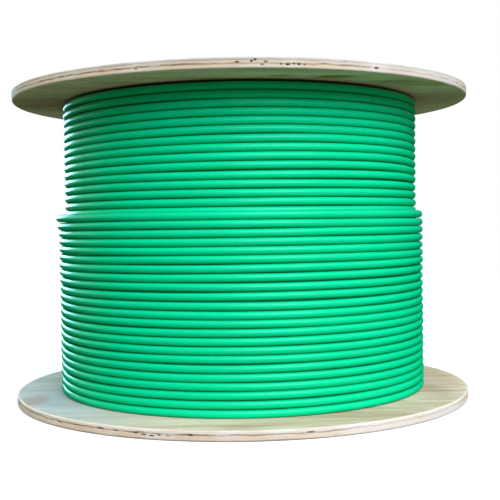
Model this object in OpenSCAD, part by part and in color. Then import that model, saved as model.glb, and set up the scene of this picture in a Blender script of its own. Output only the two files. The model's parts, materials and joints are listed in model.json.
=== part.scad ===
// Plywood cable reel, wound with round data cable: eight full layers and part of a ninth.
// The origin is the centre of the lower flange's outer face, and +Z runs up the reel's axis.
// The front is -Y. The cable's outer end is taped down at the back, +Y.

/* [Flanges] */
// Diameter of both round flanges
flange_d = 457; // [420:1:500]
// Thickness of the plywood
flange_t = 9; // [9:1:14]
// Height between the flanges' outer faces
reel_h = 305; // [290:1:320]
// Diameter of the hole that a shaft goes through
arbor_d = 52; // [30:1:80]
// Bevel on the sanded rims
rim_bevel = 0.8; // [0.4:0.1:2]

/* [Core] */
// Outer diameter of the fibre tube that the cable is wound on
core_d = 254; // [240:1:262]
// Thickness of the tube's wall
core_wall = 6; // [4:1:8]
// Depth of the round groove that seats the tube in each flange
seat_depth = 3; // [2:0.5:4]

/* [Cable] */
// Diameter of the cable
cable_d = 7.3; // [6.8:0.1:7.5]
// Thickness of the cable's jacket
jacket_t = 0.8; // [0.6:0.1:1]
// Turns in each full layer
layer_turns = 37; // [36:1:38]
// Turns in the outer, part-used layer
outer_turns = 23; // [8:1:30]
// Diameter of one insulated conductor
conductor_d = 1.1; // [1:0.05:1.2]

/* [Tie bolts] */
// Radius of the circle that the four tie bolts stand on
bolt_circle_r = 90; // [75:1:98]
// Diameter of a tie bolt's shank
bolt_d = 8; // [6:1:8]
// Diameter of the washer under a bolt's head
washer_d = 24; // [20:1:28]

/* [Hidden] */

$fn = 96;
slack = 0.1; // clearance between seated wooden, fibre and metal pieces
touch = 0.05; // clearance between turns that lie on each other

flange_r = flange_d / 2;
core_r = core_d / 2;
cable_r = cable_d / 2;

// Half a pitch is spare in each layer, so each layer's turns lie in the valleys of the one beneath.
pitch = (reel_h - 2 * flange_t) / (layer_turns + 0.5);
layer_step = sqrt(pow(cable_d + touch, 2) - pow(pitch / 2, 2));
arc_reach = 55; // each turn's outline runs this many degrees either side of its crown

bolt_angles = [45, 135, 225, 315];
head_w = 13; // across flats
head_h = 5.3;
washer_t = 1.6;
tee_d = 21;
tee_t = 1.5;
tee_barrel_d = 10;

// Each turn steps up or down to the next at the back, and the cable's outer end lies on top of
// the last outer turn just past that step. Azimuths are in degrees, from +X towards +Y.
end_from = 100;
bore_from = 120;
tape_from = 121;
tape_to = 129;
jacket_to = 132;
pairs_to = 136;
tape_t = 0.4;
start_azimuth = 80;
start_hole_d = 9;

function layer_r(k) = core_r + touch + cable_r + (k - 1) * layer_step;
// Height of the middle of turn i, counted from 1 at the bottom; even layers sit half a pitch up.
function turn_z(k, i) = flange_t + (i - (k % 2 == 1 ? 0.5 : 0)) * pitch;

end_r = layer_r(9);
end_z = turn_z(9, outer_turns + 1);

wood = [0.87, 0.80, 0.68];
fibre = [0.62, 0.50, 0.36];
green = [0.05, 0.85, 0.55];
zinc = [0.72, 0.73, 0.75];
tape_tan = [0.86, 0.80, 0.62];

// A flange lying with its grooved inner face up. The groove takes the end of the core tube.
module flange_blank() {
    seat_out = core_r + slack;
    seat_in = core_r - core_wall - slack;
    floor_z = flange_t - seat_depth;
    rotate_extrude()
        polygon([
            [arbor_d / 2, 0],
            [flange_r - rim_bevel, 0],
            [flange_r, rim_bevel],
            [flange_r, flange_t - rim_bevel],
            [flange_r - rim_bevel, flange_t],
            [seat_out, flange_t],
            [seat_out, floor_z],
            [seat_in, floor_z],
            [seat_in, flange_t],
            [arbor_d / 2, flange_t]
        ]);
}

module at_bolts() {
    for (a = bolt_angles)
        rotate(a) translate([bolt_circle_r, 0, 0]) children();
}

// The lower flange has recesses for the tee nuts, and the hole that the cable's inner end starts in.
module lower_flange() {
    color(wood)
        difference() {
            flange_blank();
            at_bolts() {
                translate([0, 0, -1]) cylinder(d = tee_barrel_d + 2 * slack, h = flange_t + 2);
                translate([0, 0, -1]) cylinder(d = tee_d + 4 * slack, h = 1 + tee_t + slack);
            }
            rotate(start_azimuth)
                translate([layer_r(1), 0, -1])
                    cylinder(d = start_hole_d, h = flange_t + 2);
        }
}

module upper_flange() {
    color(wood)
        difference() {
            translate([0, 0, reel_h]) mirror([0, 0, 1]) flange_blank();
            at_bolts()
                translate([0, 0, reel_h - flange_t - 1])
                    cylinder(d = bolt_d + 4 * slack, h = flange_t + 2);
        }
}

module core_tube() {
    color(fibre)
        translate([0, 0, flange_t - seat_depth + slack])
            difference() {
                tube_h = reel_h - 2 * (flange_t - seat_depth + slack);
                cylinder(r = core_r, h = tube_h);
                translate([0, 0, -1]) cylinder(r = core_r - core_wall, h = tube_h + 2);
            }
}

// One hexagon-headed bolt from above the upper flange down into its tee nut.
module tie_bolt(number) {
    shank_end = tee_t + 1;
    head_z = reel_h + washer_t + slack;
    color(zinc)
        rotate(bolt_angles[number - 1])
            translate([bolt_circle_r, 0, 0]) {
                translate([0, 0, shank_end]) cylinder(d = bolt_d, h = head_z - shank_end);
                translate([0, 0, head_z])
                    intersection() {
                        cylinder(d = head_w / cos(30), h = head_h, $fn = 6);
                        cylinder(r1 = head_w / 2 + head_h, r2 = head_w / 2, h = head_h);
                    }
            }
}

module bolt_washers() {
    color(zinc)
        at_bolts()
            translate([0, 0, reel_h + slack / 2])
                difference() {
                    cylinder(d = washer_d, h = washer_t);
                    translate([0, 0, -1]) cylinder(d = bolt_d + 4 * slack, h = washer_t + 2);
                }
}

// Each nut's disc lies flush in the outer face, and its barrel reaches up through the plywood.
module tee_nuts() {
    color(zinc)
        at_bolts()
            difference() {
                union() {
                    cylinder(d = tee_d, h = tee_t);
                    cylinder(d = tee_barrel_d, h = flange_t - slack);
                }
                translate([0, 0, -1]) cylinder(d = bolt_d + slack, h = flange_t + 2);
            }
}

// One side's outline of a layer of n turns, from crown to crown: facing is 0 for the outer side
// and 180 for the inner, and each crown is drawn with the given number of straight steps.
function crowns(k, n, facing, steps) = [
    for (i = [1 : n], j = [0 : steps])
        let (a = facing - arc_reach + 2 * arc_reach * j / steps,
             turn = facing == 0 ? i : n + 1 - i)
            [layer_r(k) + cable_r * cos(a), turn_z(k, turn) + cable_r * sin(a)]
];

// A layer of n turns, one ring for each, in one solid: neighbours join across the gap between them.
module cable_layer(k, n, steps = 2) {
    color(green)
        rotate_extrude()
            polygon(concat(crowns(k, n, 0, steps), crowns(k, n, 180, 2)));
}

module cable_layer_1() { cable_layer(1, layer_turns); }
module cable_layer_2() { cable_layer(2, layer_turns); }
module cable_layer_3() { cable_layer(3, layer_turns); }
module cable_layer_4() { cable_layer(4, layer_turns); }
module cable_layer_5() { cable_layer(5, layer_turns); }
module cable_layer_6() { cable_layer(6, layer_turns); }
module cable_layer_7() { cable_layer(7, layer_turns); }
module cable_layer_8() { cable_layer(8, layer_turns, 6); }
module cable_layer_9() { cable_layer(9, outer_turns, 6); }

// The cable's inner end, standing in its hole in the lower flange.
module cable_start() {
    color(green)
        rotate(start_azimuth)
            translate([layer_r(1), 0, 1])
                cylinder(d = cable_d, h = flange_t - 1);
}

// An arc of the cable's outer end, with its cross-section drawn by the children.
module along_end(from, to) {
    rotate_extrude(angle = to - from, start = from)
        translate([end_r, end_z]) children();
}

// The last of the cable: solid at first, then a hollow jacket around the pairs.
module cable_end_jacket() {
    color(green) {
        along_end(end_from, bore_from) circle(d = cable_d);
        along_end(bore_from, jacket_to)
            difference() {
                circle(d = cable_d);
                circle(d = cable_d - 2 * jacket_t);
            }
    }
}

// The cross-shaped strip that keeps the four pairs apart.
module pair_separator() {
    arm = cable_d - 2 * jacket_t - 4 * slack;
    color("ivory")
        along_end(bore_from + 0.1, pairs_to) {
            square([arm, 0.4], center = true);
            square([0.4, arm], center = true);
        }
}

// Two conductors lying side by side in one quarter of the cable.
module cable_pair(quarter, shade) {
    color(shade)
        along_end(bore_from + 0.1, pairs_to)
            rotate(45 + 90 * quarter)
                for (side = [-1, 1])
                    translate([1.5, side * (conductor_d / 2 + touch)]) circle(d = conductor_d);
}

module pair_blue() { cable_pair(0, "royalblue"); }
module pair_orange() { cable_pair(1, "darkorange"); }
module pair_green() { cable_pair(2, "seagreen"); }
module pair_brown() { cable_pair(3, "saddlebrown"); }

// A strip of tape over the cable's end, from the outer layer down onto the layer beneath.
module end_tape() {
    outer_face = end_r + cable_r + touch;
    inner_face = layer_r(8) + cable_r + touch;
    low_z = turn_z(9, outer_turns - 2);
    crest_z = end_z + 0.3 * pitch;
    foot_z = end_z + 1.2 * pitch;
    high_z = end_z + 4 * pitch;
    color(tape_tan)
        rotate_extrude(angle = tape_to - tape_from, start = tape_from)
            polygon([
                [outer_face, low_z],
                [outer_face + tape_t, low_z],
                [outer_face + tape_t, crest_z],
                [inner_face + tape_t, foot_z],
                [inner_face + tape_t, high_z],
                [inner_face, high_z],
                [inner_face, foot_z],
                [outer_face, crest_z]
            ]);
}

lower_flange();
upper_flange();
core_tube();
tie_bolt(1);  // tie_bolt_1
tie_bolt(2);  // tie_bolt_2
tie_bolt(3);  // tie_bolt_3
tie_bolt(4);  // tie_bolt_4
bolt_washers();
tee_nuts();
cable_layer_1();
cable_layer_2();
cable_layer_3();
cable_layer_4();
cable_layer_5();
cable_layer_6();
cable_layer_7();
cable_layer_8();
cable_layer_9();
cable_start();
cable_end_jacket();
pair_separator();
pair_blue();
pair_orange();
pair_green();
pair_brown();
end_tape();
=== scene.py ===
"""A plywood reel wound with round green data cable, standing on a white studio floor.

Everything is in metres in the CAD frame: the reel's axis is +Z, its lower face is z = 0 and its
front is -Y. Azimuths are in degrees from +X towards +Y, so the front is at 270.
"""

import json
import math
import random

import bmesh
import bpy
import numpy as np
from mathutils import Matrix, Vector


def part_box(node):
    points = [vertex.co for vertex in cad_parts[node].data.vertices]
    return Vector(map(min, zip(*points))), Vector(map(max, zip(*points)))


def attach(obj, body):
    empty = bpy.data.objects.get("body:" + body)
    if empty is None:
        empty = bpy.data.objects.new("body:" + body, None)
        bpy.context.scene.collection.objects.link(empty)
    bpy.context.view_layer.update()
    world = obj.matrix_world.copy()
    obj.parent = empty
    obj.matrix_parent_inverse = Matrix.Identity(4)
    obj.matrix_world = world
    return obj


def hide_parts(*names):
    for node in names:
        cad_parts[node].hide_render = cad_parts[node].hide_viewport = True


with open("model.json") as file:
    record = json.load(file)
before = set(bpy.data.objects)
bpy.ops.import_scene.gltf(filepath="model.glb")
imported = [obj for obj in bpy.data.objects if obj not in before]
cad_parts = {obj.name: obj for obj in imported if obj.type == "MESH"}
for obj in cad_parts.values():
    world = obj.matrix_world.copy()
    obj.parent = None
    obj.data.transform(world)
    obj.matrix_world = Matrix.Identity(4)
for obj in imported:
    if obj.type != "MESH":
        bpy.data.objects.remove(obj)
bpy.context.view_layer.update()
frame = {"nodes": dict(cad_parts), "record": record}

MM = 0.001

# ------------ sizes, from the frame

FLANGE_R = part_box("lower_flange")[1].x
FLANGE_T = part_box("lower_flange")[1].z
REEL_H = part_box("upper_flange")[1].z
CORE_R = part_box("core_tube")[1].x
ARBOR_R = frame["record"]["mounts"][0]["dims"]["r_mm"] * MM
CABLE_D = round(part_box("cable_start")[1].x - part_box("cable_start")[0].x, 4)
CABLE_R = CABLE_D / 2
LAYERS = sum(name.startswith("cable_layer_") for name in frame["nodes"])
LAYER_TURNS = 37
OUTER_TURNS = 23
CORE_WALL = 6 * MM
TOUCH = 0.05 * MM  # clearance between turns that lie on each other
PITCH = (REEL_H - 2 * FLANGE_T) / (LAYER_TURNS + 0.5)
FIRST_R = CORE_R + TOUCH + CABLE_R


def polar(radius, azimuth, z):
    """The point at that radius, azimuth in degrees and height."""
    angle = math.radians(azimuth)
    return Vector((radius * math.cos(angle), radius * math.sin(angle), z))


def turned_by(azimuth, at):
    """How far round an azimuth lies from another, in degrees between -180 and 180."""
    return (azimuth - at + 180) % 360 - 180


def smooth_step(x):
    x = np.clip(x, 0, 1)
    return x * x * (3 - 2 * x)


def new_object(name, data):
    thing = bpy.data.objects.new(name, data)
    bpy.context.scene.collection.objects.link(thing)
    return thing


# ------------ camera, lights and floor

CAMERA_AT = (0, -0.9553, 0.1730)
CAMERA_YAW = 0.529  # degrees to the right of +Y
CAMERA_PITCH = 1.591  # degrees below the horizon
CAMERA_ROLL = -0.8015
CAMERA_LENS = 66.24  # mm
CAMERA_SENSOR = 36  # mm
ROOM_LIGHT = 0.40  # brightness of the room's walls
KEY_GLOW = 1.0  # how much brighter they are to the front right
GLOSS_FRONT = 0.40  # share of the room's light that shows in gloss, from the front
GLOSS_BACK = 0.06  # and from the back
LEVEL_LIGHT = 0.14  # share of the room's light that comes from the horizon
BELOW_LIGHT = 0.68  # share of the room's light that comes from straight below
BELOW_TINT = (0.94, 0.90, 0.68)
KEY_WAY = (0.55, -0.75, 0.35)  # the way to the room's brightest part
OVERHEAD_SHARE = 0.45  # share of the room's light that comes from straight above


def add_camera():
    data = bpy.data.cameras.new("camera")
    data.sensor_width = CAMERA_SENSOR
    data.lens = CAMERA_LENS
    camera = new_object("camera", data)
    yaw, pitch, roll = (math.radians(a) for a in (CAMERA_YAW, CAMERA_PITCH, CAMERA_ROLL))
    level = Vector((math.sin(yaw), math.cos(yaw), 0))
    forward = level * math.cos(pitch) - Vector((0, 0, math.sin(pitch)))
    right = forward.cross(Vector((0, 0, 1))).normalized()
    up = right.cross(forward)
    tilted_right = right * math.cos(roll) + up * math.sin(roll)
    tilted_up = up * math.cos(roll) - right * math.sin(roll)
    turn = Matrix((tilted_right, tilted_up, -forward)).transposed().to_4x4()
    camera.matrix_world = Matrix.Translation(CAMERA_AT) @ turn
    bpy.context.scene.camera = camera


def add_panel(name, at, aim, size, power, colour=(1, 1, 1), gloss_only=False):
    """A soft rectangular studio light that the camera doesn't see."""
    data = bpy.data.lights.new(name, "AREA")
    data.shape = "RECTANGLE"
    data.size, data.size_y = size
    data.energy = power
    data.color = colour
    light = new_object(name, data)
    light.location = at
    light.rotation_mode = "QUATERNION"
    light.rotation_quaternion = (Vector(aim) - Vector(at)).to_track_quat("-Z", "Y")
    light.visible_camera = False
    light.visible_diffuse = not gloss_only


def add_studio():
    middle = (0, 0, REEL_H / 2)
    add_panel("key_light", (0.8, -2.1, 1.55), middle, (1.9, 1.5), 62, (0.88, 1.0, 1.31))
    add_panel("edge_light", (-0.94, 1.22, 0.44), middle, (0.54, 0.46), 9.5, (0.43, 0.86, 1.06),
              gloss_only=True)
    add_panel("window_light", (-2.2, 0.9, 0.7), middle, (1.4, 1.4), 10, (0.55, 0.90, 0.74))
    add_panel("back_light", (0.3, 2.4, 1.7), middle, (1.6, 1.2), 16)
    add_panel("top_light", (0, 0, 2.4), (0, 0, 0), (2.6, 2.6), 24)
    add_world()
    bpy.context.scene.view_settings.view_transform = "Standard"


def add_world():
    """A white room that is brighter to the front right and dim below the floor; the camera sees it
    white."""
    world = bpy.data.worlds.new("studio")
    bpy.context.scene.world = world
    world.use_nodes = True
    w = Nodes(world.node_tree)
    ray = w.add("LightPath").outputs
    toward = w.add("TexCoord").outputs["Generated"]
    _, y, z = w.split(toward)
    to_key = w.add("VectorMath", operation="DOT_PRODUCT")
    w.feed(to_key.inputs[0], toward)
    w.feed(to_key.inputs[1], Vector(KEY_WAY).normalized())
    glow = w.ranged(to_key.outputs["Value"], 0.1, 1.0, ROOM_LIGHT, ROOM_LIGHT + KEY_GLOW)
    above = w.ranged(z, -0.05, 0.38, LEVEL_LIGHT, 1.0)
    below = w.ranged(z, -0.80, -0.25, BELOW_LIGHT - LEVEL_LIGHT, 0.0)
    overhead = w.ranged(z, 0.55, 0.95, 1.0, OVERHEAD_SHARE)
    in_gloss = w.add("Mix", {"Factor": ray["Is Glossy Ray"]})
    w.feed(in_gloss.inputs[2], 1.0)
    w.feed(in_gloss.inputs[3], w.ranged(y, -0.35, 0.30, GLOSS_FRONT, GLOSS_BACK))
    strength = w.plus(above, below)
    for share in (glow, overhead, in_gloss.outputs[0]):
        strength = w.times(strength, share)
    room = w.tree.nodes["Background"]
    w.feed(room.inputs["Color"], w.blend(w.ranged(z, -0.25, -0.05), BELOW_TINT, (1, 1, 1)))
    w.feed(room.inputs["Strength"], strength)
    white = w.add("Background", {"Color": (1, 1, 1)})
    choose = w.add("MixShader", {"Fac": ray["Is Camera Ray"]})
    w.feed(choose.inputs[1], room.outputs[0])
    w.feed(choose.inputs[2], white.outputs[0])
    w.feed(w.tree.nodes["World Output"].inputs["Surface"], choose.outputs[0])


# ------------ material helpers


class Nodes:
    """Adds nodes to a tree by short calls, most of which return a socket."""

    def __init__(self, tree):
        self.tree = tree

    def feed(self, socket, value):
        if isinstance(value, bpy.types.NodeSocket):
            self.tree.links.new(value, socket)
        elif isinstance(value, tuple) and len(value) == 3 and socket.type == "RGBA":
            socket.default_value = (*value, 1)
        elif value is not None:
            socket.default_value = value

    def add(self, kind, inputs=(), **settings):
        node = self.tree.nodes.new("ShaderNode" + kind)
        for key, value in settings.items():
            setattr(node, key, value)
        for key, value in dict(inputs).items():
            self.feed(node.inputs[key], value)
        return node

    def split(self, vector):
        return self.add("SeparateXYZ", {"Vector": vector}).outputs

    def maths(self, operation, a, b=None):
        node = self.add("Math", operation=operation)
        self.feed(node.inputs[0], a)
        self.feed(node.inputs[1], b)
        return node.outputs[0]

    def plus(self, a, b):
        return self.maths("ADD", a, b)

    def times(self, a, b):
        return self.maths("MULTIPLY", a, b)

    def gap(self, a, b):
        """How far two values are apart."""
        return self.maths("ABSOLUTE", self.maths("SUBTRACT", a, b))

    def ranged(self, value, low, high, to_low=0.0, to_high=1.0):
        """A smooth change from one range of values to another."""
        inputs = {"Value": value, "From Min": low, "From Max": high, "To Min": to_low, "To Max": to_high}
        return self.add("MapRange", inputs, interpolation_type="SMOOTHSTEP").outputs["Result"]

    def blend(self, share, a, b, kind="MIX"):
        node = self.add("Mix", {"Factor": share}, data_type="RGBA", blend_type=kind)
        self.feed(node.inputs[6], a)
        self.feed(node.inputs[7], b)
        return node.outputs[2]


class Surface(Nodes):
    """A principled material. Its colour starts as a ramp, and tints are laid over that."""

    def __init__(self, name, ior=1.5, metallic=0.0):
        self.material = bpy.data.materials.new(name)
        self.material.use_nodes = True
        super().__init__(self.material.node_tree)
        self.shader = self.tree.nodes["Principled BSDF"]
        self.shader.inputs["Metallic"].default_value = metallic
        self.shader.inputs["IOR"].default_value = ior
        self.colour = None

    def place(self):
        """The point's own place in the CAD frame, in metres."""
        return self.add("TexCoord").outputs["Object"]

    def along_tube(self):
        """(metres along the tube, share of the way round it)."""
        return self.add("UVMap", uv_map="run").outputs["UV"]

    def painted(self, attribute):
        return self.add("Attribute", attribute_name=attribute).outputs["Fac"]

    def noise(self, vector, scale=1.0, shift=(0, 0, 0), detail=3.0, roughness=0.5):
        """Cloudy noise. Its scale is one number, or a number for each axis."""
        if isinstance(scale, tuple):
            vector = self.add("Mapping", {"Vector": vector, "Scale": scale, "Location": shift}).outputs[0]
            scale = 1.0
        inputs = {"Vector": vector, "Scale": scale, "Detail": detail, "Roughness": roughness}
        return self.add("TexNoise", inputs).outputs["Fac"]

    def oval(self, x, y, at_x, at_y, half_length, half_width):
        """The square of the distance from an oval's middle, where 1 is its outline."""
        along = self.maths("DIVIDE", self.maths("SUBTRACT", x, at_x), half_length)
        across = self.maths("DIVIDE", self.maths("SUBTRACT", y, at_y), half_width)
        return self.plus(self.maths("POWER", along, 2), self.maths("POWER", across, 2))

    def ramp(self, value, *stops):
        """A smooth run through colours, each given as (position, colour)."""
        node = self.add("ValToRGB", {"Fac": value})
        marks = node.color_ramp.elements
        while len(marks) < len(stops):
            marks.new(0.5)
        for mark, (position, colour) in zip(marks, stops):
            mark.position = position
            mark.color = (*colour, 1)
        return node.outputs["Color"]

    def tint(self, share, colour, kind="MIX"):
        """Lays a colour over the surface's own."""
        self.colour = self.blend(share, self.colour, colour, kind)

    def fleck(self, value, low, high, share, colour, kind="MIX"):
        """Lays a colour over the surface's own, from none of it where a value is low up to that share."""
        self.tint(self.ranged(value, low, high, 0.0, share), colour, kind)

    def bump(self, *heights):
        """Adds relief: each height is (socket, how far in metres its full range stands up)."""
        normal = None
        for height, distance in heights:
            inputs = {"Height": height, "Distance": distance, "Strength": 1.0, "Normal": normal}
            normal = self.add("Bump", inputs).outputs["Normal"]
        self.feed(self.shader.inputs["Normal"], normal)

    def finish(self, roughness, **extra):
        inputs = {"Base Color": self.colour, "Roughness": roughness}
        inputs.update((key.replace("_", " "), value) for key, value in extra.items())
        for key, value in inputs.items():
            self.feed(self.shader.inputs[key], value)
        return self.material


def srgb(red, green, blue):
    """A colour given in display values of 0 to 255, as linear light."""
    def linear(value):
        value /= 255
        return value / 12.92 if value <= 0.04045 else ((value + 0.055) / 1.055) ** 2.4
    return tuple(linear(v) for v in (red, green, blue))


# ------------ materials

# The glue lines' distances from the inner face, as shares of the thickness.
LOWER_JOINTS = (0.39, 0.88)
UPPER_JOINTS = (0.42, 0.75)


def green_jacket():
    """Extruded PVC: even mint green with a soft gloss, handling scuffs, dull dusty undersides, and painted
    shade: a darker green towards the lines where the turns touch.
    """
    s = Surface("green_jacket", ior=1.34)
    run = s.along_tube()
    lengthwise = s.noise(run, (6, 1.5, 1), detail=2)
    draw_lines = s.noise(run, (14, 46, 1))
    mottle = s.noise(s.place(), scale=900)
    scuffs = s.noise(run, (160, 9, 1), detail=5, roughness=0.7)
    scuffed = s.ranged(scuffs, 0.62, 0.78)
    s.colour = s.ramp(lengthwise, (0.30, srgb(0, 204, 132)), (0.72, srgb(0, 212, 142)))
    s.fleck(mottle, 0.35, 0.75, 0.10, srgb(20, 214, 160))
    s.tint(s.times(scuffed, 0.12), srgb(120, 228, 190))
    around = s.split(run)[1]
    # Painted shade: the green darkens towards the lines where neighbouring turns touch, standing in for the
    # shade in the gaps between them.
    off_crest = s.gap(around, 0.5)
    s.fleck(off_crest, 0.12, 0.24, 0.55, srgb(0, 128, 70))
    s.bump((draw_lines, 0.00003), (mottle, 0.00001), (scuffs, 0.00001))
    roughness = s.plus(s.ranged(draw_lines, 0.3, 0.7, 0.25, 0.33), s.times(scuffed, 0.2))
    roughness = s.plus(roughness, s.ranged(around, 0.30, 0.44, 0.5, 0.0))
    gloss = s.ranged(around, 0.30, 0.46, 0.04, 0.5)
    return s.finish(roughness, Specular_IOR_Level=gloss, Specular_Tint=(0.45, 0.80, 1.0))


def wood_fibres(s, place):
    """Streaks along X, as a rotary-cut face veneer has: (broad figure, thin streaks, fine fibres)."""
    warp = s.add("TexNoise", {"Vector": place, "Scale": 7.0, "Detail": 2.0}).outputs["Color"]
    warped = s.add("Mix", data_type="VECTOR")
    s.feed(warped.inputs["Factor"], 0.035)
    s.feed(warped.inputs[4], place)
    s.feed(warped.inputs[5], warp)
    bent = warped.outputs[1]
    figure = s.noise(bent, (5, 34, 8), detail=4, roughness=0.6)
    streaks = s.noise(bent, (9, 190, 20), (3, 1, 0), detail=5, roughness=0.65)
    fibres = s.noise(bent, (60, 1500, 200))
    return figure, streaks, fibres


def plywood_face(name, stains_and_shade, painted_cool_left_light=0.0, knots=(), patches=()):
    """The flat faces: pale birch veneer with streaky figure, mineral streaks, grime, rub marks and painted
    shade. Each brown patch is (x, y, half length, half width, strength) in metres, and lies on the reel's
    inner side; most are stains, and those against the winding are painted shade where it meets the flange.
    A third argument, when given, is painted light: it tints the left side a cool blue-grey, as the bluish
    light from the back left falls on it. Knots are (x, y, radius), and patches, which are oval plugs let
    into the veneer, are (x, y, half length, half width); both are on the reel's outer side."""
    s = Surface(name, ior=1.45)
    place = s.place()
    x, y, z = s.split(place)
    figure, streaks, fibres = wood_fibres(s, place)
    s.colour = s.ramp(figure, (0.30, srgb(198, 175, 136)), (0.5, srgb(225, 211, 182)),
                      (0.70, srgb(237, 229, 209)))
    s.fleck(streaks, 0.42, 0.68, 0.45, srgb(188, 164, 124), "MULTIPLY")
    mineral = s.ranged(s.noise(place, (4, 70, 5), (7, 2, 0), detail=4), 0.66, 0.78)
    s.tint(s.times(mineral, 0.55), srgb(128, 104, 78))
    blotch = s.noise(place, (9, 16, 9), (1, 5, 2), detail=4)
    s.fleck(blotch, 0.55, 0.75, 0.30, srgb(176, 160, 116))
    speckle = s.noise(place, (60, 160, 60), (2, 2, 2), detail=5, roughness=0.75)
    grey = s.ranged(s.noise(place, (6, 8, 6), (4, 4, 4)), 0.52, 0.70)
    s.tint(s.times(grey, 0.28), srgb(186, 190, 182))
    # Painted light: a cool blue-grey tint over the face's left side, standing in for the bluish light from
    # the back left.
    if painted_cool_left_light:
        leftward = s.plus(s.times(x, -1.0), s.times(blotch, 0.05))
        cool_light_share = s.times(s.ranged(leftward, 0.08, 0.21), painted_cool_left_light)
        cool_light_share = s.times(cool_light_share, s.ranged(speckle, 0.30, 0.60, 1.0, 0.55))
        s.tint(cool_light_share, srgb(158, 198, 214))
    middle = REEL_H / 2
    inner_side = s.ranged(s.gap(z, middle), middle - 0.7 * FLANGE_T, middle - 0.3 * FLANGE_T, 1.0, 0.0)
    smear = s.noise(place, (30, 220, 30), (1, 3, 1), detail=5, roughness=0.7)
    for at_x, at_y, half_length, half_width, strength in stains_and_shade:
        ragged = s.oval(x, y, at_x, at_y, half_length, half_width)
        ragged = s.plus(ragged, s.ranged(smear, 0.25, 0.75, -0.8, 0.8))
        stain_and_shade_share = s.times(s.ranged(ragged, 0.1, 1.3, strength, 0.0), inner_side)
        # Brown patches on the inner faces: stains, and painted shade where a patch lies against the
        # winding.
        s.tint(stain_and_shade_share, srgb(152, 106, 58))
    outer_side = s.maths("SUBTRACT", 1.0, inner_side)
    for at_x, at_y, half_length, half_width in patches:
        inside = s.oval(x, y, at_x, at_y, half_length, half_width)
        plug = s.ramp(s.noise(place, (6, 90, 8), (9, 4, 1), detail=4), (0.35, srgb(206, 182, 142)),
                      (0.62, srgb(228, 210, 176)))
        s.tint(s.times(s.ranged(inside, 0.97, 0.99, 1.0, 0.0), outer_side), plug)
        line = s.ranged(s.gap(inside, 1.0), 0.02, 0.07, 0.75, 0.0)
        s.tint(s.times(line, outer_side), srgb(96, 72, 46))
    for at_x, at_y, radius in knots:
        away = s.maths("SQRT", s.oval(x, y, at_x, at_y, 1.3 * radius, radius))
        away = s.plus(away, s.ranged(speckle, 0.2, 0.8, -0.12, 0.12))
        rings = s.ranged(s.maths("SINE", s.times(away, 11.0)), -1.0, 1.0, 0.35, 1.0)
        halo = s.times(s.ranged(away, 0.9, 2.6, 0.55, 0.0), rings)
        s.tint(s.times(halo, outer_side), srgb(150, 112, 70))
        core = s.ranged(away, 0.75, 1.0, 0.9, 0.0)
        s.tint(s.times(core, outer_side), srgb(92, 58, 34))
    s.fleck(speckle, 0.55, 0.75, 0.22, srgb(166, 142, 100))
    s.fleck(fibres, 0.35, 0.7, 0.28, srgb(160, 138, 100))
    s.bump((streaks, 0.00018), (fibres, 0.00006))
    return s.finish(s.ranged(streaks, 0.3, 0.7, 0.60, 0.78), Specular_IOR_Level=0.32)


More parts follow.
